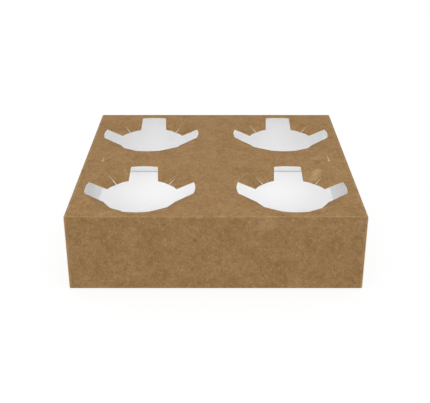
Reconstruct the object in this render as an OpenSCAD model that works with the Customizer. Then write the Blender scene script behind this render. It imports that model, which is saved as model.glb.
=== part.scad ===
// Cup carrier of folded kraft board: a low closed carton that holds four takeaway cups.
// The top panel has four openings, and the bent flaps round each opening grip a cup.
// Millimetres, +Z up, +Y to the back. The origin is on the ground under the middle.

/* [Carton] */
// Outside width, left to right
carrier_width = 220; // [212:1:280]
// Outside depth, front to back
carrier_depth = 220; // [212:1:280]
// Outside height
carrier_height = 60; // [40:1:100]
// Thickness of the board
board = 0.5; // [0.4:0.05:0.8]
// Inside radius of every creased fold of the carton
fold_inside_radius = 0.2; // [0.2:0.1:1.0]

/* [Cup openings] */
// Distance between the openings' middles, left to right
cup_pitch_x = 118; // [100:1:124]
// Distance between the openings' middles, front to back
cup_pitch_y = 118; // [100:1:124]
// Diameter of the circle that the flaps' creases lie on
rim_diameter = 86; // [76:1:92]
// Diameter of the mouth that is cut between the flaps' free edges, with the flaps flat
mouth_diameter = 56; // [46:1:64]
// Width of the plain cut-outs between the pairs of flaps
notch_width = 22; // [12:1:30]
// Angle by which a flap is bent down
flap_angle = 30; // [10:5:60]
// Width of the cut between the two flaps of a pair
flap_cut_width = 0.4; // [0.2:0.1:1.0]

/* [Side slits] */
// Length of the short slit near each side of the top panel
side_slit_length = 10; // [6:1:24]
// Width of the short slit
side_slit_width = 0.5; // [0.3:0.1:1.2]
// Distance of the short slit from the side of the carton
side_slit_inset = 15; // [8:1:24]

/* [Glued flaps] */
// Length of the corner flaps behind the side walls
corner_flap_length = 40; // [20:1:60]
// Slope of the corner flaps' upper and lower edges, in millimetres at the free end
corner_flap_taper = 5; // [1:0.5:10]
// Drop of the base flaps' free edge below the top panel
base_flap_drop = 14; // [2:1:20]
// Slope of the base flaps' short edges, in millimetres at the free edge
base_flap_taper = 4; // [1:0.5:10]
// Height of the seam flap that stands behind the back wall
seam_flap_height = 16; // [8:1:30]
// Slope of the seam flap's short edges, in millimetres at the free edge
seam_flap_taper = 6; // [1:0.5:12]
// Gap between a glued flap and the neighbour that lies beside it
flap_gap = 1.0; // [0.4:0.1:3.0]
// Height of a wall's free lower edge above the fold that it stands beside
free_edge_gap = 0.3; // [0.3:0.1:3.0]

/* [Hidden] */
$fn = 96;
// Outside radius of a fold
fold_radius = fold_inside_radius + board;
// Half of the outside width and depth
half_width = carrier_width / 2;
half_depth = carrier_depth / 2;
// Distance from the middle to the outer face of the layer that is glued behind a wall
inner_half_width = half_width - board;
inner_half_depth = half_depth - board;
// Half of the flat run of the front and back walls between their corner folds
wall_run = inner_half_width - fold_radius;
// Half of the side walls' length, and of the top panel's flat depth
side_run = half_depth - fold_radius;
// Half of the top panel's flat width
top_run = half_width - fold_radius;
// Heights of the upper and lower ends of the walls' flat parts
wall_top = carrier_height - fold_radius;
wall_foot = fold_radius;
free_edge = fold_radius + free_edge_gap;
// Half of the base flaps' length along the fold, between the corner flaps
base_flap_run = half_depth - corner_flap_length - flap_gap;
base_flap_top = carrier_height - board - base_flap_drop;
// Half of the seam flap's length along the fold, between the corner folds
seam_flap_run = wall_run - flap_gap;
rim_radius = rim_diameter / 2;
mouth_radius = mouth_diameter / 2;
half_notch = notch_width / 2;
half_cut = flap_cut_width / 2;
// Half angle of a notch, seen from the middle of an opening
notch_half_angle = asin(half_notch / rim_radius);
// A crease is the chord from a notch's corner to the cut between the two flaps of a pair
crease_half_angle = (45 - notch_half_angle) / 2;
crease_angle = (45 + notch_half_angle) / 2;
crease_distance = rim_radius * cos(crease_half_angle);
crease_length = 2 * rim_radius * sin(crease_half_angle);
// Length of flat board that a flap keeps behind its crease, to join the top panel
crease_run = 0.2;
// Flat faces that round the outside of a flap's bend
bend_steps = 2;

// A quarter of a round fold: its outer faces lie on the two axes, and its ends face right and up.
module fold_section() {
    intersection() {
        translate([fold_radius, fold_radius]) difference() {
            circle(r = fold_radius);
            circle(r = fold_inside_radius);
        }
        square(fold_radius);
    }
}

// A fold along X, from a level panel at the bottom up into a wall that faces the front.
module fold_along_x(half_run) {
    rotate([90, 0, 90]) linear_extrude(2 * half_run, center = true) fold_section();
}

// A fold along Y, from a level panel at the bottom up into a wall that faces the left.
module fold_along_y(half_run) {
    rotate([90, 0, 0]) linear_extrude(2 * half_run, center = true) fold_section();
}

// A point turned about the origin.
function turned(point, angle) = [
    point.x * cos(angle) - point.y * sin(angle),
    point.x * sin(angle) + point.y * cos(angle)
];

// The outline that is cut from the top panel: arcs at the notches, straight edges just behind the creases.
module opening_outline() {
    edge_distance = crease_distance + crease_run / 2;
    notch_corner = [(edge_distance - half_notch * sin(crease_angle)) / cos(crease_angle), half_notch];
    cut_corner = edge_distance / cos(crease_half_angle) * [cos(45), sin(45)];
    polygon([
        for (turn = [0 : 90 : 270], point = [notch_corner, cut_corner, [notch_corner.y, notch_corner.x]])
            turned(point, turn)
    ]);
    intersection() {
        circle(r = rim_radius);
        union() {
            square([rim_diameter, notch_width], center = true);
            square([notch_width, rim_diameter], center = true);
        }
    }
}

// One flap as it is cut in the flat board, about the middle of its opening, with a run past its crease.
module flap_outline() {
    inner_corner = [half_notch + half_cut * (1 + sqrt(2)), half_notch + half_cut];
    difference() {
        polygon([
            inner_corner,
            inner_corner + rim_radius * [1, 0],
            inner_corner + rim_radius * [cos(45), sin(45)]
        ]);
        circle(r = mouth_radius);
    }
}

// A strip of board, seen along its crease: a run into the top panel, the rounded bend and the bent length.
module strip_section() {
    away = [-cos(flap_angle), -sin(flap_angle)];
    polygon(concat(
        [[0, 0], [crease_run, 0], [crease_run, board]],
        [for (step = [0 : bend_steps])
            board * [-sin(flap_angle * step / bend_steps), cos(flap_angle * step / bend_steps)]],
        [board * [-sin(flap_angle), cos(flap_angle)] + crease_distance * away, crease_distance * away]
    ));
}

// One flap: a strip bent down about its own straight crease and trimmed to the flap's outline.
module bent_flap() {
    rotate(crease_angle) translate([crease_distance, 0, 0]) intersection() {
        rotate([90, 0, 0])
            linear_extrude(crease_length - 2 * flap_cut_width, center = true) strip_section();
        rotate([0, -flap_angle, 0])
            translate([-crease_distance, 0, -board])
                linear_extrude(3 * board) rotate(-crease_angle) flap_outline();
    }
}

// The eight flaps of one opening, in four pairs.
module opening_flaps() {
    for (turn = [0 : 90 : 270]) rotate(turn) {
        bent_flap();
        mirror([1, -1, 0]) bent_flap();
    }
}

// The four places of the cups.
module at_each_cup() {
    for (x = [-cup_pitch_x / 2, cup_pitch_x / 2], y = [-cup_pitch_y / 2, cup_pitch_y / 2])
        translate([x, y, 0]) children();
}

// The top panel with its openings, flaps and side slits.
module top_panel() {
    translate([0, 0, carrier_height - board]) {
        linear_extrude(board) difference() {
            square([2 * top_run, 2 * side_run], center = true);
            at_each_cup() opening_outline();
            for (side = [-1, 1])
                translate([side * (half_width - side_slit_inset), 0])
                    square([side_slit_width, side_slit_length], center = true);
        }
        at_each_cup() opening_flaps();
    }
}

// A side wall: it hangs from a fold at the side of the top panel.
module side_wall() {
    translate([-half_width, 0, carrier_height])
        mirror([0, 0, 1]) fold_along_y(side_run);
    translate([-half_width, -side_run, free_edge])
        cube([board, 2 * side_run, wall_top - free_edge]);
}

// A corner flap and the upright fold that joins it to the left end of the front wall.
module corner_flap(foot) {
    translate([-inner_half_width, -half_depth, foot])
        linear_extrude(wall_top - foot) fold_section();
    translate([-inner_half_width, 0, 0]) rotate([90, 0, 90]) linear_extrude(board) polygon([
        [-side_run, foot],
        [-half_depth + corner_flap_length, foot + corner_flap_taper],
        [-half_depth + corner_flap_length, wall_top - corner_flap_taper],
        [-side_run, wall_top]
    ]);
}

// A wall that hangs from the front edge of the top panel, with a corner flap at each end.
module end_wall(foot) {
    translate([0, -half_depth, carrier_height]) mirror([0, 0, 1]) fold_along_x(top_run);
    translate([-wall_run, -half_depth, foot]) cube([2 * wall_run, board, wall_top - foot]);
    corner_flap(foot);
    mirror([1, 0, 0]) corner_flap(foot);
}

// A flap that stands up from a fold at the left side of the base, behind the side wall.
module base_flap() {
    translate([-inner_half_width, 0, 0]) {
        fold_along_y(base_flap_run);
        rotate([90, 0, 90]) linear_extrude(board) polygon([
            [-base_flap_run, wall_foot],
            [base_flap_run, wall_foot],
            [base_flap_run - base_flap_taper, base_flap_top],
            [-base_flap_run + base_flap_taper, base_flap_top]
        ]);
    }
}

// The seam flap that stands up from a fold at the back of the base, behind the back wall.
module seam_flap() {
    translate([0, inner_half_depth, 0]) mirror([0, 1, 0]) {
        fold_along_x(seam_flap_run);
        translate([0, board, 0]) rotate([90, 0, 0]) linear_extrude(board) polygon([
            [-seam_flap_run, wall_foot],
            [seam_flap_run, wall_foot],
            [seam_flap_run - seam_flap_taper, wall_foot + seam_flap_height],
            [-seam_flap_run + seam_flap_taper, wall_foot + seam_flap_height]
        ]);
    }
}

// The base, with the fold at its front, its two side flaps and the seam flap.
module base_panel() {
    translate([-wall_run, -side_run, 0])
        cube([2 * wall_run, side_run + inner_half_depth - fold_radius, board]);
    translate([0, -half_depth, 0]) fold_along_x(wall_run);
    base_flap();
    mirror([1, 0, 0]) base_flap();
    seam_flap();
}

// The whole carrier: one sheet, folded and glued.
module carrier() {
    color("peru") union() {
        top_panel();
        side_wall();
        mirror([1, 0, 0]) side_wall();
        end_wall(wall_foot);
        mirror([0, 1, 0]) end_wall(free_edge);
        base_panel();
    }
}

carrier();
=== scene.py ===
"""The looks of a cup carrier: one sheet of kraft board that is cut flat, then creased, folded and glued."""

import math
import random

import bmesh
import bpy
from mathutils import Matrix, Vector


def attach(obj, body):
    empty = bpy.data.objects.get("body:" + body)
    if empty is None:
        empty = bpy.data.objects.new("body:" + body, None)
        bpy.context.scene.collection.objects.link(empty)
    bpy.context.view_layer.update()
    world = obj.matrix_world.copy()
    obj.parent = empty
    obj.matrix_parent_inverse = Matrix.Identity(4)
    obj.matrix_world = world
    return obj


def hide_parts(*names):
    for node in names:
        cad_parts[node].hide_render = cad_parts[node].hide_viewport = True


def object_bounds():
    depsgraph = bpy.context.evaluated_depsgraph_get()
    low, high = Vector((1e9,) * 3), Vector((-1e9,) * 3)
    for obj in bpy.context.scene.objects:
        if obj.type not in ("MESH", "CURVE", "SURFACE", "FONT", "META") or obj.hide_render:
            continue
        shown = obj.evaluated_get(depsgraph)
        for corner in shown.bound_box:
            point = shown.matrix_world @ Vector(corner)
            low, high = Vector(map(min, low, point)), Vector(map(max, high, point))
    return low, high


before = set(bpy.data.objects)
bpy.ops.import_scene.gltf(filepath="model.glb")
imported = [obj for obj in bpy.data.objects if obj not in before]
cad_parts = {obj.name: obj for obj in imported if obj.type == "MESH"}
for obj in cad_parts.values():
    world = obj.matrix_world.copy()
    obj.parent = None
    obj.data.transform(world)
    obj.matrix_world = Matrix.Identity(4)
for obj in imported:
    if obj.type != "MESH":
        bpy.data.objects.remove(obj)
cad_low, cad_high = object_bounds()

MM = 0.001
UP = Vector((0, 0, 1))
SQUARE = math.radians(90)
SIDES = (-1, 1)
# The two ways of the flat sheet, as axes
ACROSS = 0
ALONG = 1
# Places on the flat board that are nearer than this count as one place
NEAR = 1e-6

# The carton, as in the part's source
HALF_WIDTH = cad_high.x
HALF_DEPTH = cad_high.y
HEIGHT = cad_high.z
BOARD = 0.5 * MM
FOLD_RADIUS = 0.7 * MM
INNER_HALF_WIDTH = HALF_WIDTH - BOARD
INNER_HALF_DEPTH = HALF_DEPTH - BOARD
TOP_RUN = HALF_WIDTH - FOLD_RADIUS
SIDE_RUN = HALF_DEPTH - FOLD_RADIUS
WALL_RUN = INNER_HALF_WIDTH - FOLD_RADIUS
WALL_DROP = HEIGHT - 2 * FOLD_RADIUS
# The side and back walls end at this height, lower than in the part's source so that no light shows there
FREE_EDGE = 0.3 * MM
FREE_WALL_DROP = HEIGHT - FOLD_RADIUS - FREE_EDGE

# The openings and the slits of the top panel
CUP_PLACE = 59 * MM
RIM_RADIUS = 43 * MM
MOUTH_RADIUS = 28 * MM
HALF_NOTCH = 11 * MM
SLIT_INSET = 15 * MM
SLIT_PLACE = HALF_WIDTH - SLIT_INSET
HALF_SLIT_LENGTH = 5 * MM
HALF_SLIT_WIDTH = 0.25 * MM
# The cut between the two flaps of a pair, finer than in the part's source
HALF_CUT = 0.03 * MM
# How far the flaps are bent down, and by how much that differs from flap to flap
FLAP_ANGLE = math.radians(30)
FLAP_SPREAD = math.radians(1)
FLAP_SEED = 11

# The ends of a flap's crease on the rim and of its free edge on the mouth, as angles from the nearest notch
RIM_FROM = math.asin(HALF_NOTCH / RIM_RADIUS)
RIM_TO = SQUARE / 2 - math.asin(HALF_CUT / RIM_RADIUS)
MOUTH_FROM = math.asin(HALF_NOTCH / MOUTH_RADIUS)
MOUTH_TO = SQUARE / 2 - math.asin(HALF_CUT / MOUTH_RADIUS)

# The glued flaps
FLAP_GAP = 1 * MM
CORNER_FLAP_LENGTH = 40 * MM
CORNER_FLAP_TAPER = 5 * MM
BASE_FLAP_RUN = HALF_DEPTH - CORNER_FLAP_LENGTH - FLAP_GAP
BASE_FLAP_DROP = 14 * MM
BASE_FLAP_HEIGHT = HEIGHT - BOARD - BASE_FLAP_DROP - FOLD_RADIUS
BASE_FLAP_TAPER = 4 * MM
SEAM_FLAP_RUN = WALL_RUN - FLAP_GAP
SEAM_FLAP_HEIGHT = 16 * MM
SEAM_FLAP_TAPER = 6 * MM
# The base is wider by this at each end of its front fold, and narrows again up to its side flaps
BASE_WIDENING = 0.6 * MM

# How finely the board is divided: steps round a rim, and rows of the panels and flaps
NOTCH_STEPS = 4
CREASE_STEPS = 8
HALF_STEPS = NOTCH_STEPS + CREASE_STEPS
QUARTER_STEPS = 2 * HALF_STEPS + 1
RIM_STEPS = 4 * QUARTER_STEPS
PANEL_ROWS = 5
FLAP_ROWS = 5
ROW_LENGTH = 7 * MM
# Edges where the board turns by more than this are shaded sharp
SHARP_ANGLE = math.radians(35)

# A fold of the carton and the bend of a cup flap: equal strips that turn the board step by step
FOLD_STEPS = 5
FOLD_STRIP = 2 * FOLD_RADIUS * math.sin(SQUARE / (2 * FOLD_STEPS))
FOLD_FLAT = FOLD_STEPS * FOLD_STRIP
BEND_RADIUS = 0.8 * MM
BEND_STEPS = 2
BEND_STRIP = 2 * BEND_RADIUS * math.sin(FLAP_ANGLE / (2 * BEND_STEPS))

# The flat sheet, from back to front: back wall, top panel, front wall, base and seam flap
FRONT_WALL_START = -SIDE_RUN - FOLD_FLAT
FRONT_WALL_END = FRONT_WALL_START - WALL_DROP
BASE_START = FRONT_WALL_END - FOLD_FLAT
BASE_FLAP_START = BASE_START - (SIDE_RUN - BASE_FLAP_RUN)
BASE_FLAP_END = BASE_FLAP_START - 2 * BASE_FLAP_RUN
BASE_END = BASE_START - (SIDE_RUN + INNER_HALF_DEPTH - FOLD_RADIUS)
BACK_WALL_START = SIDE_RUN + FOLD_FLAT
BACK_WALL_END = BACK_WALL_START + FREE_WALL_DROP

# Where the pale wear of the folds lies on the flat sheet: just inside the top panel's edge, and at the base
WEAR_INSET = 0.5 * MM
SIDE_FOLD = TOP_RUN - WEAR_INSET
TOP_FOLD = SIDE_RUN - WEAR_INSET
FOOT_FOLD = FRONT_WALL_END - FOLD_FLAT / 2
SEAM_FOLD = BASE_END - FOLD_FLAT / 2
# The grey line inside, on the base just before the seam fold: painted shade of the crease where the seam
# flap stands up
CREASE_SHADE_INSET = 1.3 * MM
SEAM_CREASE_SHADE = SEAM_FOLD + CREASE_SHADE_INSET
# Scuffs on the flat sheet, and a painted highlight at the front end of each side slit: their middles and
# their reach, in millimetres, and their strength
SCUFFS_AND_SLIT_HIGHLIGHTS = (
    ((84, -24), 4, 0.45),
    ((82, -28), 5, 0.55),
    ((79, -33), 4, 0.4),
    ((75, -30), 12, 0.2),
    ((82, 0), 5, 0.3),
    ((87, 0), 5, 0.3),
    ((90, -9), 4, 0.25),
    ((38, -113), 10, 0.25),
    ((-88, 66), 10, 0.3),
    # The last two are painted highlights at the front ends of the side slits
    ((95, -5), 2, 1.0),
    ((-95, -5), 2, 1.0),
)

# The board's finishes, in the order of the piece's material slots
OUTSIDE = 0
INSIDE = 1
CUT_EDGE = 2

# The lowest corners of the sheet's two parts: the top panel with its walls, and the base with its flaps
TOP_CORNER = Vector((-TOP_RUN - FOLD_FLAT - FREE_WALL_DROP, FRONT_WALL_END))
BASE_CORNER = Vector((-WALL_RUN - FOLD_FLAT - BASE_FLAP_HEIGHT, BASE_END - FOLD_FLAT - SEAM_FLAP_HEIGHT))
# Where a finish of each part lies on the map for baked textures, and at how much of the map to a metre
TOP_AREAS = {OUTSIDE: (Vector((0.005, 0.005)), 2.1), INSIDE: (Vector((0.725, 0.005)), 0.79)}
BASE_AREAS = {OUTSIDE: (Vector((0.005, 0.725)), 1.14), INSIDE: (Vector((0.365, 0.725)), 1.14)}
# The strip of that map that all cut edges share
CUT_EDGE_STRIP = ((0.76, 0.4), (0.8, 0.4), (0.8, 0.41), (0.76, 0.41))

# The camera of the photograph: its place in metres, dip, lens and sensor in millimetres, and shift
CAMERA_PLACE = (0, -0.6166, 0.3173)
CAMERA_DIP = math.radians(24.88)
LENS_LENGTH = 66.06
SENSOR_WIDTH = 36
SHIFT_ACROSS = -0.0021
SHIFT_UP = -0.0289

# The studio, in metres and watts: two lamps, a sky, and a floor that lies just clear of the base
OVERHEAD_PLACE = (0, 0, 1.6)
OVERHEAD_SIZE = 1.4
OVERHEAD_POWER = 7.2
FILL_PLACE = (0, -1.45, 0.85)
FILL_SIZE = 0.9
FILL_POWER = 10.3
SKY_STRENGTH = 1.36
FLOOR_REACH = 6
FLOOR_GAP = 0.1 * MM


# Drawing the flat sheet


def on_circle(radius, angle):
    """A place on a circle round the middle of an opening."""
    return Vector((radius * math.cos(angle), radius * math.sin(angle), 0))


def turned_into_place(step, place_from_notch):
    """A place that is known by its steps from the nearest notch, turned and mirrored to its own eighth."""
    quarter, part = divmod(step % RIM_STEPS, QUARTER_STEPS)
    nearest = min(part, QUARTER_STEPS - part)
    place = place_from_notch(nearest)
    if nearest < part:
        place = place.yxz
    return Matrix.Rotation(quarter * SQUARE, 3, UP) @ place


def rim_from_notch(steps):
    """A corner of the rim: an arc at the notch, then the straight crease of a flap."""
    if steps <= NOTCH_STEPS:
        return on_circle(RIM_RADIUS, RIM_FROM * steps / NOTCH_STEPS)
    share = (steps - NOTCH_STEPS) / CREASE_STEPS
    return on_circle(RIM_RADIUS, RIM_FROM).lerp(on_circle(RIM_RADIUS, RIM_TO), share)


def mouth_from_notch(steps):
    """A corner of a flap's free edge, on the circle of the mouth."""
    share = (steps - NOTCH_STEPS) / CREASE_STEPS
    return on_circle(MOUTH_RADIUS, MOUTH_FROM + (MOUTH_TO - MOUTH_FROM) * share)


def panel_place(step):
    """The place on the outline of a quarter of the top panel that a corner of the rim is drawn out to."""
    low = -CUP_PLACE
    high_x = TOP_RUN - CUP_PLACE
    high_y = SIDE_RUN - CUP_PLACE
    outline = [(high_x, high_y), (low, high_y), (low, low), (high_x, low)]
    side, part = divmod((step - HALF_STEPS) % RIM_STEPS, QUARTER_STEPS)
    start = Vector((*outline[side], 0))
    end = Vector((*outline[(side + 1) % len(outline)], 0))
    return start.lerp(end, part / QUARTER_STEPS)


def crease_starts():
    """The steps round a rim at which the creases of its eight flaps start."""
    after_notch = NOTCH_STEPS
    after_cut = HALF_STEPS + 1
    return [quarter * QUARTER_STEPS + first for quarter in range(4) for first in (after_notch, after_cut)]


def mirrored_for(middle):
    """The mirroring that turns the right back opening into the one that lies round a middle."""
    return Matrix.Diagonal((math.copysign(1, middle.x), math.copysign(1, middle.y), 1))


def corners_of(parts):
    """The corners among the parts that an operator gives."""
    return [part for part in parts if isinstance(part, bmesh.types.BMVert)]


def edges_of(parts):
    """The edges among the parts that an operator gives."""
    return [part for part in parts if isinstance(part, bmesh.types.BMEdge)]


def with_edges_and_corners(faces):
    """Faces with their edges and corners, as bisect_plane takes them."""
    edges = {edge for face in faces for edge in face.edges}
    corners = {corner for face in faces for corner in face.verts}
    return [*corners, *edges, *faces]


def row(board, axis, value, low, high):
    """The edges of the flat board where one axis has a value and the other lies between two limits."""
    found = []
    for edge in board.edges:
        level = [abs(corner.co[axis] - value) < NEAR for corner in edge.verts]
        within = [low - NEAR < corner.co[1 - axis] < high + NEAR for corner in edge.verts]
        if all(level) and all(within):
            found.append(edge)
    return found


def middle_part(edges, half_run):
    """The edges of a row that lie within half a run of the sheet's middle line."""
    return [edge for edge in edges if all(abs(corner.co.x) < half_run + NEAR for corner in edge.verts)]


def draw_to(board, corners, places):
    """Draws board out of a row of corners to a row of places, and gives the new row in the same order."""
    edges = [board.edges.get(pair) for pair in zip(corners, corners[1:])]
    new = corners_of(bmesh.ops.extrude_edge_only(board, edges=edges)["geom"])
    drawn = [min(new, key=lambda other: (other.co - corner.co).length) for corner in corners]
    for corner, place in zip(drawn, places):
        corner.co = place
    return drawn


def draw_rows(board, edges, way, length, taper=0.0, steps=0):
    """Draws flat board straight out of a row of edges, narrowed at both ends, and gives its last row."""
    steps = steps or math.ceil(length / ROW_LENGTH)
    along = Vector((abs(way.y), abs(way.x), 0))
    for _ in range(steps):
        made = bmesh.ops.extrude_edge_only(board, edges=edges)["geom"]
        corners = corners_of(made)
        bmesh.ops.translate(board, verts=corners, vec=way * length / steps)
        places = [corner.co.dot(along) for corner in corners]
        middle = (max(places) + min(places)) / 2
        narrower = 1 - taper / steps / (max(places) - middle)
        shrink = Vector((1, 1, 1)) - along * (1 - narrower)
        bmesh.ops.scale(board, verts=corners, vec=shrink, space=Matrix.Translation(-along * middle))
        new = set(corners)
        edges = [edge for edge in edges_of(made) if new.issuperset(edge.verts)]
    return edges


def draw_fold(board, edges, way):
    """Draws the strips of a fold straight out of a row of edges, and gives its last row."""
    return draw_rows(board, edges, way, FOLD_FLAT, steps=FOLD_STEPS)


def draw_opening(board, middle):
    """Draws a quarter of the top panel out of an opening's rim, and the flaps in from their creases."""
    mirror = mirrored_for(middle)
    ring = bmesh.ops.create_circle(board, segments=RIM_STEPS, radius=RIM_RADIUS)["verts"]
    rim = sorted(ring, key=lambda corner: math.atan2(corner.co.y, corner.co.x))
    rim.append(rim[0])
    outline = []
    mouth = []
    for step, corner in enumerate(rim):
        corner.co = middle + mirror @ turned_into_place(step, rim_from_notch)
        outline.append(middle + mirror @ panel_place(step))
        mouth.append(middle + mirror @ turned_into_place(step, mouth_from_notch))

    starts = [corner.co.copy() for corner in rim]
    last = rim
    for part in range(1, PANEL_ROWS + 1):
        places = [start.lerp(end, part / PANEL_ROWS) for start, end in zip(starts, outline)]
        last = draw_to(board, last, places)
    for step in crease_starts():
        crease = slice(step, step + CREASE_STEPS + 1)
        draw_flap(board, rim[crease], mouth[crease], middle)


def draw_flap(board, crease, free_edge, middle):
    """Draws one flap in from its crease: narrow rows for the bend, then even rows up to the free edge."""
    starts = [corner.co.copy() for corner in crease]
    inward = UP.cross(starts[-1] - starts[0]).normalized()
    if inward.dot(middle - starts[0]) < 0:
        inward.negate()
    last = crease
    for step in range(1, BEND_STEPS + 1):
        places = []
        for start, end in zip(starts, free_edge):
            spoke = end - start
            places.append(start + spoke * (BEND_STRIP * step / spoke.dot(inward)))
        last = draw_to(board, last, places)
    starts = [corner.co.copy() for corner in last]
    for part in range(1, FLAP_ROWS + 1):
        places = [start.lerp(end, part / FLAP_ROWS) for start, end in zip(starts, free_edge)]
        last = draw_to(board, last, places)


def cut_slit(board, place):
    """Cuts a short slit in the top panel, through the faces near it alone."""
    near = 4 * HALF_SLIT_LENGTH
    faces = [face for face in board.faces if (face.calc_center_median() - place).length < near]
    geom = with_edges_and_corners(faces)
    for way, half in ((Vector((1, 0, 0)), HALF_SLIT_WIDTH), (Vector((0, 1, 0)), HALF_SLIT_LENGTH)):
        for side in SIDES:
            edge = place + way * half * side
            geom = bmesh.ops.bisect_plane(board, geom=geom, plane_co=edge, plane_no=way, dist=NEAR)["geom"]
    inside = []
    for face in board.faces:
        offset = face.calc_center_median() - place
        if abs(offset.x) < HALF_SLIT_WIDTH and abs(offset.y) < HALF_SLIT_LENGTH:
            inside.append(face)
    bmesh.ops.delete(board, geom=inside, context="FACES")


def draw_side_wall(board, side):
    """Draws a side wall out of the top panel."""
    way = Vector((side, 0, 0))
    edges = row(board, ACROSS, side * TOP_RUN, -SIDE_RUN, SIDE_RUN)
    edges = draw_fold(board, edges, way)
    draw_rows(board, edges, way, FREE_WALL_DROP)


def draw_end_wall(board, back):
    """Draws the front or back wall, with a corner flap at each end, and gives its last row."""
    facing = 1 if back else -1
    way = Vector((0, facing, 0))
    edges = row(board, ALONG, facing * SIDE_RUN, -TOP_RUN, TOP_RUN)
    edges = middle_part(draw_fold(board, edges, way), WALL_RUN)
    edges = draw_rows(board, edges, way, FREE_WALL_DROP if back else WALL_DROP)
    low, high = (BACK_WALL_START, BACK_WALL_END) if back else (FRONT_WALL_END, FRONT_WALL_START)
    for side in SIDES:
        sideways = Vector((side, 0, 0))
        end = row(board, ACROSS, side * WALL_RUN, low, high)
        end = draw_fold(board, end, sideways)
        draw_rows(board, end, sideways, CORNER_FLAP_LENGTH - FOLD_RADIUS, CORNER_FLAP_TAPER)
    return edges


def draw_base(board, edges):
    """Draws the base out of the foot of the front wall, with its side flaps and the seam flap."""
    way = Vector((0, -1, 0))
    edges = draw_rows(board, edges, way, FOLD_STRIP, -BASE_WIDENING, steps=1)
    edges = draw_rows(board, edges, way, FOLD_FLAT - FOLD_STRIP, steps=FOLD_STEPS - 1)
    edges = draw_rows(board, edges, way, BASE_START - BASE_FLAP_START, BASE_WIDENING)
    edges = draw_rows(board, edges, way, BASE_FLAP_START - BASE_FLAP_END)
    edges = draw_rows(board, edges, way, BASE_FLAP_END - BASE_END)
    edges = draw_fold(board, middle_part(edges, SEAM_FLAP_RUN), way)
    draw_rows(board, edges, way, SEAM_FLAP_HEIGHT, SEAM_FLAP_TAPER)
    for side in SIDES:
        sideways = Vector((side, 0, 0))
        edges = row(board, ACROSS, side * WALL_RUN, BASE_FLAP_END, BASE_FLAP_START)
        edges = draw_fold(board, edges, sideways)
        draw_rows(board, edges, sideways, BASE_FLAP_HEIGHT, BASE_FLAP_TAPER)


def middle_of(part):
    """The middle of an edge or a face."""
    return sum((corner.co for corner in part.verts), Vector((0, 0, 0))) / len(part.verts)


def put_in_order(parts, place):
    """Sorts parts of the board by a place on each, because extrusion makes them in no fixed order."""
    for index, part in enumerate(sorted(parts, key=lambda part: tuple(place(part)))):
        part.index = index
    parts.sort()


def flat_sheet(middles):
    """The whole sheet as it is cut from the flat board, with its outer face up."""
    board = bmesh.new()
    for middle in middles:
        draw_opening(board, middle)
    bmesh.ops.remove_doubles(board, verts=board.verts, dist=NEAR)
    for place in (-WALL_RUN, -SEAM_FLAP_RUN, SEAM_FLAP_RUN, WALL_RUN):
        geom = with_edges_and_corners(board.faces)
        line = Vector((place, 0, HEIGHT))
        bmesh.ops.bisect_plane(board, geom=geom, plane_co=line, plane_no=Vector((1, 0, 0)), dist=NEAR)
    for side in SIDES:
        cut_slit(board, Vector((side * SLIT_PLACE, 0, HEIGHT)))
    for side in SIDES:
        draw_side_wall(board, side)
    draw_end_wall(board, back=True)
    draw_base(board, draw_end_wall(board, back=False))
    board.normal_update()
    bmesh.ops.reverse_faces(board, faces=[face for face in board.faces if face.normal.z < 0])
    put_in_order(board.verts, lambda corner: corner.co)
    put_in_order(board.edges, middle_of)
    put_in_order(board.faces, middle_of)
    return board


# Folding the sheet


def fold(board, flat, chosen, start, way, angle=SQUARE, strip=FOLD_STRIP, steps=FOLD_STEPS):
    """Folds chosen corners down about a crease, in strips, from the farthest strip to the nearest."""
    for step in reversed(range(steps + 1)):
        line = start + way * strip * step
        # The strips are chords of a round fold, so its first and last lines turn half as far as the others
        share = 0.5 if step in (0, steps) else 1.0
        turn = Matrix.Rotation(angle * share / steps, 3, UP.cross(way))
        beyond = [corner for corner in chosen if (flat[corner] - line).dot(way) > NEAR]
        bmesh.ops.rotate(board, verts=beyond, cent=line, matrix=turn)


def bend_flaps(board, flat, middle, chance):
    """Bends the eight flaps of an opening, each about its own straight crease."""
    mirror = mirrored_for(middle)
    near = [corner for corner in board.verts if (flat[corner] - middle).length < RIM_RADIUS - NEAR]
    for step in crease_starts():
        start = turned_into_place(step, rim_from_notch)
        end = turned_into_place(step + CREASE_STEPS, rim_from_notch)
        inward = UP.cross(end - start).normalized()
        chosen = []
        for corner in near:
            place = mirror @ (flat[corner] - middle)
            if start.cross(place).z > -NEAR and place.cross(end).z > -NEAR:
                chosen.append(corner)
        angle = FLAP_ANGLE + FLAP_SPREAD * chance.uniform(-1, 1)
        fold(board, flat, chosen, middle + mirror @ start, mirror @ inward, angle, BEND_STRIP, BEND_STEPS)


def between(flat, low, high):
    """The corners that lie between two lines across the flat sheet."""
    return [corner for corner, place in flat.items() if low - NEAR < place.y < high + NEAR]


def fold_carton(board, flat):
    """Folds the sheet into the carton, from its outermost flaps inward."""
    frontward = Vector((0, -1, 0))
    sideways = (Vector((-1, 0, 0)), Vector((1, 0, 0)))
    corners = list(flat)
    fold(board, flat, corners, Vector((0, BASE_END, HEIGHT)), frontward)
    for way in sideways:
        fold(board, flat, between(flat, BASE_FLAP_END, BASE_FLAP_START), way * WALL_RUN + UP * HEIGHT, way)
    fold(board, flat, corners, Vector((0, FRONT_WALL_END, HEIGHT)), frontward)
    for way in sideways:
        corner_fold = way * WALL_RUN + UP * HEIGHT
        fold(board, flat, between(flat, FRONT_WALL_END, FRONT_WALL_START), corner_fold, way)
        fold(board, flat, between(flat, BACK_WALL_START, BACK_WALL_END), corner_fold, way)
        fold(board, flat, between(flat, -SIDE_RUN, SIDE_RUN), way * TOP_RUN + UP * HEIGHT, way)
    fold(board, flat, corners, Vector((0, -SIDE_RUN, HEIGHT)), frontward)
    fold(board, flat, corners, Vector((0, SIDE_RUN, HEIGHT)), -frontward)


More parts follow.
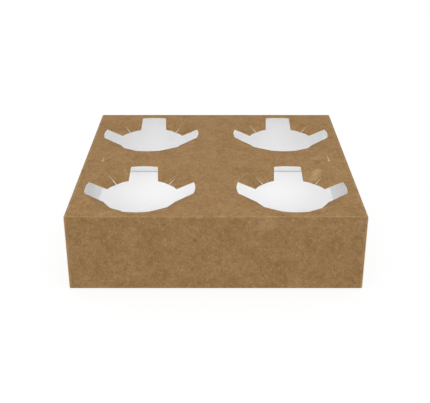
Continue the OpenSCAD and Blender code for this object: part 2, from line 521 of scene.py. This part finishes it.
def folded_board():
    """The carton as a thin folded sheet, which keeps a map of where it lay on the flat board."""
    middles = [Vector((x, y, HEIGHT)) for x in (-CUP_PLACE, CUP_PLACE) for y in (-CUP_PLACE, CUP_PLACE)]
    board = flat_sheet(middles)
    flat_map = board.loops.layers.uv.new("flat")
    for face in board.faces:
        face.smooth = True
        for loop in face.loops:
            loop[flat_map].uv = loop.vert.co.xy
    flat = {corner: corner.co.copy() for corner in board.verts}
    chance = random.Random(FLAP_SEED)
    for middle in middles:
        bend_flaps(board, flat, middle, chance)
    fold_carton(board, flat)
    sheet = bpy.data.meshes.new("folded_board")
    board.to_mesh(sheet)
    board.free()
    return sheet


def lay_out_for_baking(board):
    """Lays the board out on the map for baked textures, with the outside of the top and walls largest."""
    baked = board.uv_layers.new(name="OFBake", do_init=False).data
    flat = board.uv_layers["flat"].data
    for face in board.polygons:
        if face.material_index == CUT_EDGE:
            for loop, place in zip(face.loop_indices, CUT_EDGE_STRIP):
                baked[loop].uv = place
            continue
        lengths = [flat[loop].uv.y for loop in face.loop_indices]
        on_base = max(lengths) < FRONT_WALL_END + NEAR
        corner, areas = (BASE_CORNER, BASE_AREAS) if on_base else (TOP_CORNER, TOP_AREAS)
        start, scale = areas[face.material_index]
        for loop in face.loop_indices:
            baked[loop].uv = start + (flat[loop].uv - corner) * scale


def with_thickness(name, sheet, finishes):
    """A piece made of a folded sheet, solid to the inside, with its outer, inner and cut-edge finishes."""
    piece = bpy.data.objects.new(name, sheet)
    bpy.context.scene.collection.objects.link(piece)
    for finish in finishes:
        sheet.materials.append(finish)
    wall = piece.modifiers.new("board", "SOLIDIFY")
    wall.thickness = BOARD
    wall.offset = -1
    wall.use_even_offset = True
    wall.use_quality_normals = True
    wall.material_offset = INSIDE
    wall.material_offset_rim = CUT_EDGE
    shown = piece.evaluated_get(bpy.context.evaluated_depsgraph_get())
    piece.data = bpy.data.meshes.new_from_object(shown)
    piece.modifiers.clear()
    piece.data.name = name
    piece.data.set_sharp_from_angle(angle=SHARP_ANGLE)
    lay_out_for_baking(piece.data)
    # Large faces count most in the shading, so that the panels look flat up to their folds
    shading = piece.modifiers.new("flat_panels", "WEIGHTED_NORMAL")
    shading.weight = 100
    shading.keep_sharp = True
    return piece


# Nodes and finishes


class Wire:
    """A value in a tree of nodes, with operators that add Math nodes."""

    def __init__(self, nodes, socket):
        self.nodes = nodes
        self.socket = socket

    def __add__(self, other):
        return self.nodes.maths("ADD", self, other)

    def __radd__(self, other):
        return self.nodes.maths("ADD", other, self)

    def __sub__(self, other):
        return self.nodes.maths("SUBTRACT", self, other)

    def __rsub__(self, other):
        return self.nodes.maths("SUBTRACT", other, self)

    def __mul__(self, other):
        return self.nodes.maths("MULTIPLY", self, other)

    def __rmul__(self, other):
        return self.nodes.maths("MULTIPLY", other, self)

    def __abs__(self):
        return self.nodes.maths("ABSOLUTE", self)

    def output(self, name):
        """Another output of the same node."""
        return Wire(self.nodes, self.socket.node.outputs[name])


class Nodes:
    """A tree of nodes, with one call that adds any node and one that feeds any socket."""

    def __init__(self, tree):
        self.tree = tree

    def node(self, kind, settings=None, sockets=None, output=0):
        """Adds a node: its settings first, then the values or links of its sockets."""
        made = self.tree.nodes.new(kind)
        for name, value in (settings or {}).items():
            setattr(made, name, value)
        for name, value in (sockets or {}).items():
            self.feed(made.inputs[name], value)
        return Wire(self, made.outputs[output])

    def feed(self, socket, value):
        """Links a wire to a socket, or sets the socket's own value."""
        if isinstance(value, Wire):
            self.tree.links.new(value.socket, socket)
        else:
            socket.default_value = value

    def maths(self, operation, *values):
        """The result of one Math node."""
        return self.node("ShaderNodeMath", {"operation": operation}, dict(enumerate(values)))


class Finish(Nodes):
    """A material of the board, with short calls for the patterns that it uses."""

    def __init__(self, name):
        self.material = bpy.data.materials.new(name)
        self.material.use_nodes = True
        super().__init__(self.material.node_tree)
        self.shader = self.tree.nodes["Principled BSDF"]

    def flat_place(self):
        """The place on the flat sheet, in millimetres."""
        metres = self.node("ShaderNodeUVMap", {"uv_map": "flat"})
        return self.node("ShaderNodeVectorMath", {"operation": "SCALE"}, {0: metres, "Scale": 1 / MM})

    def stretched(self, place, length, width, turn=0):
        """A place counted in lengths and widths of a pattern that lies turned on the sheet, by degrees."""
        sockets = {"Vector": place, "Scale": (length, width, 1), "Rotation": (0, 0, math.radians(turn))}
        return self.node("ShaderNodeMapping", {"vector_type": "TEXTURE"}, sockets)

    def noise(self, place, size=1.0, detail=2.0, roughness=0.5, distortion=0.0):
        """Cloudy noise from 0 to 1, about 0.5, with spots of a size."""
        sockets = {
            "Vector": place,
            "Scale": 1 / size,
            "Detail": detail,
            "Roughness": roughness,
            "Distortion": distortion,
        }
        return self.node("ShaderNodeTexNoise", {"noise_dimensions": "2D"}, sockets)

    def ramp(self, value, low, high):
        """A smooth rise from 0 at one value to 1 at another."""
        sockets = {"Value": value, "From Min": low, "From Max": high}
        return self.node("ShaderNodeMapRange", {"interpolation_type": "SMOOTHSTEP"}, sockets)

    def line(self, value, middle, half_width, reach):
        """1 where a value is within half a width of a middle, falling to 0 at a reach from it."""
        return 1 - self.ramp(abs(value - middle), half_width, reach)

    def patch(self, place, middle, reach):
        """1 at a point of the sheet, falling to 0 at a reach from it."""
        sockets = {0: place, 1: (*middle, 0)}
        distance = self.node("ShaderNodeVectorMath", {"operation": "DISTANCE"}, sockets, output="Value")
        return 1 - self.ramp(distance, reach / 3, reach)

    def uneven(self, place, size, amount):
        """A place that is pushed to and fro by noise, so that what is drawn there gets ragged edges."""
        push = self.noise(place, size).output("Color")
        push = self.node("ShaderNodeVectorMath", {"operation": "SUBTRACT"}, {0: push, 1: (0.5, 0.5, 0.5)})
        sockets = {0: push, 1: (amount, amount, 0), 2: place}
        return self.node("ShaderNodeVectorMath", {"operation": "MULTIPLY_ADD"}, sockets)

    def spots(self, place, cell, size):
        """Soft round spots of all sizes up to one size, at most one to a cell; 1 on a spot, 0 beside it."""
        sockets = {"Vector": place, "Scale": 1 / cell}
        distance = self.node("ShaderNodeTexVoronoi", {"voronoi_dimensions": "2D"}, sockets)
        chance = self.node("ShaderNodeSeparateColor", {}, {"Color": distance.output("Color")})
        reach = size / 2 / cell
        return self.ramp(chance * reach - distance, 0, reach / 2)

    def hairs(self, place, size):
        """Thin curled fibres that break off here and there; 1 on a fibre and 0 beside it."""
        curl = self.noise(place, size, detail=1)
        broken = self.ramp(self.noise(place, 1.7 * size, detail=1), low=0.5, high=0.58)
        return self.line(curl, middle=0.5, half_width=0.006, reach=0.03) * broken

    def mix(self, share, first, second):
        """A colour between two colours."""
        # The node has sockets of the same names for other types of value, so these are given by number
        sockets = {0: share, 6: first, 7: second}
        return self.node("ShaderNodeMix", {"data_type": "RGBA"}, sockets, output=2)

    def bump(self, height, distance):
        """A surface normal from a height, where 1 stands as high as a distance."""
        return self.node("ShaderNodeBump", {}, {"Height": height, "Distance": distance, "Strength": 1.0})

    def surface(self, **sockets):
        """Feeds the shader's sockets, which are named with underscores for their spaces."""
        for name, value in sockets.items():
            self.feed(self.shader.inputs[name.replace("_", " ")], value)
        return self.material


def colour(red, green, blue):
    """A full colour, as a colour socket takes it."""
    return (red, green, blue, 1)


def kraft_outside():
    """Brown kraft: clouds, grain and fibres, bark specks and hairs, scuffs, painted highlights at the side
    slits' ends, and pale wear on the folds.
    """
    dark_kraft = colour(0.177, 0.092, 0.026)
    light_kraft = colour(0.318, 0.196, 0.091)
    bark_brown = colour(0.095, 0.050, 0.016)
    bare_fibre = colour(0.45, 0.32, 0.16)
    finish = Finish("kraft_outside")
    place = finish.flat_place()
    across = finish.node("ShaderNodeSeparateXYZ", {}, {"Vector": place})
    along = across.output("Y")

    clouds = finish.noise(place, size=18, detail=2, roughness=0.55)
    mottle = finish.noise(place, size=5, detail=2, roughness=0.6, distortion=0.6)
    grain = finish.noise(place, size=1.8, detail=2, roughness=0.65)
    fibres = 0
    for turn in (10, 75, 130):
        fibres = fibres + finish.noise(finish.stretched(place, length=2.6, width=0.35, turn=turn), detail=1)
    tone = 0.5 + (clouds - 0.5) * 0.57 + (mottle - 0.5) * 0.63
    tone = tone + (grain - 0.5) * 0.85 + (fibres - 1.5) * 0.35

    ragged = finish.uneven(place, size=1.6, amount=2.4)
    chips = []
    for length, turn in ((1.8, 25), (1.6, -65)):
        turned = finish.stretched(ragged, length, width=0.7, turn=turn)
        chips.append(finish.spots(turned, cell=4.6, size=1.8))
    bark = finish.maths("MAXIMUM", *chips)
    flecks = finish.spots(finish.stretched(ragged, length=1.4, width=0.7, turn=-40), cell=5.5, size=1.7)
    dark_hairs = finish.hairs(place, size=3.2)
    pale_hairs = finish.hairs(finish.stretched(place, length=1, width=1, turn=70), size=2.6)

    folds = finish.line(abs(across), SIDE_FOLD / MM, half_width=0.5, reach=1.0)
    for fold_line in (-TOP_FOLD, TOP_FOLD, FOOT_FOLD, SEAM_FOLD):
        wear = finish.line(along, fold_line / MM, half_width=0.5, reach=1.0)
        folds = finish.maths("MAXIMUM", folds, wear)
    worn = finish.ramp(finish.noise(place, size=12, detail=5, roughness=0.75), low=0.3, high=0.65)

    # Scuffs, and painted highlights at the front ends of the side slits
    scuffs_and_slit_highlights = 0
    for middle, reach, strength in SCUFFS_AND_SLIT_HIGHLIGHTS:
        scuffs_and_slit_highlights = scuffs_and_slit_highlights + finish.patch(ragged, middle, reach) * strength
    streaks = finish.stretched(place, length=7, width=1.6, turn=25)
    scratches = finish.noise(streaks, detail=3, roughness=0.6)
    scuffs_and_slit_highlights = scuffs_and_slit_highlights * (0.4 + finish.ramp(scratches, low=0.4, high=0.7) * 0.6)

    board = finish.mix(tone, dark_kraft, light_kraft)
    board = finish.mix(bark * 0.4 + dark_hairs * 0.35, board, bark_brown)
    pale = flecks * 0.28 + pale_hairs * 0.35 + folds * worn * 0.2 + scuffs_and_slit_highlights
    return finish.surface(
        Base_Color=finish.mix(pale, board, bare_fibre),
        Roughness=0.85 + (grain - 0.5) * 0.2,
        Specular_IOR_Level=0.2,
        Normal=finish.bump(grain * 0.5 + fibres * 0.3, distance=0.05 * MM),
    )


def white_inside():
    """Plain white inner face, faintly cloudy, with a grey line of painted shade where the seam flap stands
    up.
    """
    dull_white = colour(0.805, 0.805, 0.805)
    clear_white = colour(0.845, 0.845, 0.85)
    crease_shade_grey = colour(0.24, 0.25, 0.26)
    finish = Finish("white_inside")
    place = finish.flat_place()
    along = finish.node("ShaderNodeSeparateXYZ", {}, {"Vector": place}, output="Y")
    mottle = finish.noise(place, size=7, detail=4, roughness=0.6)
    fine = finish.noise(finish.stretched(place, length=2.4, width=0.8), detail=3, roughness=0.6)
    board = finish.mix(mottle * 0.6 + fine * 0.4, dull_white, clear_white)
    # A grey line of painted shade in the crease where the seam flap stands up
    crease_shade_mask = finish.line(along, SEAM_CREASE_SHADE / MM, half_width=0.5, reach=1.0)
    return finish.surface(
        Base_Color=finish.mix(crease_shade_mask * 0.8, board, crease_shade_grey),
        Roughness=0.62 + (fine - 0.5) * 0.15,
        Specular_IOR_Level=0.3,
        Normal=finish.bump(fine, distance=0.03 * MM),
    )


def cut_edge():
    """The pale fibrous core that shows at every cut."""
    fibre_size = 0.4 * MM
    dark_core = colour(0.40, 0.25, 0.11)
    pale_core = colour(0.60, 0.41, 0.20)
    finish = Finish("cut_edge")
    place = finish.node("ShaderNodeTexCoord", output="Object")
    fibres = finish.node("ShaderNodeTexNoise", {}, {"Vector": place, "Scale": 1 / fibre_size, "Detail": 3})
    return finish.surface(
        Base_Color=finish.mix(fibres, dark_core, pale_core),
        Roughness=0.9 + (fibres - 0.5) * 0.1,
        Specular_IOR_Level=0.2,
    )


def pale_floor():
    """The floor of the studio: white and lit through, so that it takes no dark shadow."""
    return Finish("pale_floor").surface(
        Base_Color=colour(0.15, 0.15, 0.15),
        Roughness=0.9,
        Emission_Color=colour(1, 1, 1),
        Emission_Strength=0.8,
    )


# The studio


def add_camera():
    """The camera of the photograph, placed for a picture of 430 by 403."""
    lens = bpy.data.cameras.new("camera")
    lens.sensor_width = SENSOR_WIDTH
    lens.lens = LENS_LENGTH
    lens.shift_x = SHIFT_ACROSS
    lens.shift_y = SHIFT_UP
    camera = bpy.data.objects.new("camera", lens)
    camera.location = CAMERA_PLACE
    camera.rotation_euler = (SQUARE - CAMERA_DIP, 0, 0)
    bpy.context.scene.collection.objects.link(camera)
    bpy.context.scene.camera = camera


def add_floor(finish):
    """The pale floor, which belongs to the studio and not to the carton."""
    ground = bmesh.new()
    bmesh.ops.create_grid(ground, x_segments=1, y_segments=1, size=FLOOR_REACH)
    bmesh.ops.translate(ground, verts=ground.verts, vec=-UP * FLOOR_GAP)
    surface = bpy.data.meshes.new("floor")
    ground.to_mesh(surface)
    ground.free()
    surface.materials.append(finish)
    floor = bpy.data.objects.new("floor", surface)
    bpy.context.scene.collection.objects.link(floor)


def add_softbox(name, place, size, power):
    """A large square lamp that faces the carton and casts no shadow, as in the photograph."""
    lamp = bpy.data.lights.new(name, "AREA")
    lamp.size = size
    lamp.energy = power
    lamp.use_shadow = False
    softbox = bpy.data.objects.new(name, lamp)
    softbox.location = place
    softbox.visible_camera = False
    softbox.rotation_euler = (-Vector(place)).to_track_quat("-Z", "Y").to_euler()
    bpy.context.scene.collection.objects.link(softbox)


def add_sky():
    """Soft light from all round that grows with height, and a plain white backdrop for the camera alone."""
    white = colour(1, 1, 1)
    sky = bpy.data.worlds.new("studio")
    sky.use_nodes = True
    nodes = Nodes(sky.node_tree)
    way = nodes.node("ShaderNodeTexCoord", output="Generated")
    height = nodes.node("ShaderNodeSeparateXYZ", {}, {"Vector": way}, output="Z")
    strength = nodes.node("ShaderNodeMapRange", {}, {"Value": height, "To Max": SKY_STRENGTH})
    light = sky.node_tree.nodes["Background"]
    nodes.feed(light.inputs["Color"], white)
    nodes.feed(light.inputs["Strength"], strength)
    backdrop = nodes.node("ShaderNodeBackground", {}, {"Color": white})
    seen = nodes.node("ShaderNodeLightPath", output="Is Camera Ray")
    shown = nodes.node("ShaderNodeMixShader", {}, {0: seen, 1: Wire(nodes, light.outputs[0]), 2: backdrop})
    nodes.feed(sky.node_tree.nodes["World Output"].inputs["Surface"], shown)
    bpy.context.scene.world = sky


def light_studio():
    """The sky and two lamps, with colours shown as they are."""
    add_sky()
    add_softbox("overhead_lamp", OVERHEAD_PLACE, OVERHEAD_SIZE, OVERHEAD_POWER)
    add_softbox("fill_lamp", FILL_PLACE, FILL_SIZE, FILL_POWER)
    bpy.context.scene.view_settings.view_transform = "Standard"


add_camera()
carton = with_thickness("folded_board", folded_board(), [kraft_outside(), white_inside(), cut_edge()])
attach(carton, "root")
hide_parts("carrier")
add_floor(pale_floor())
light_studio()
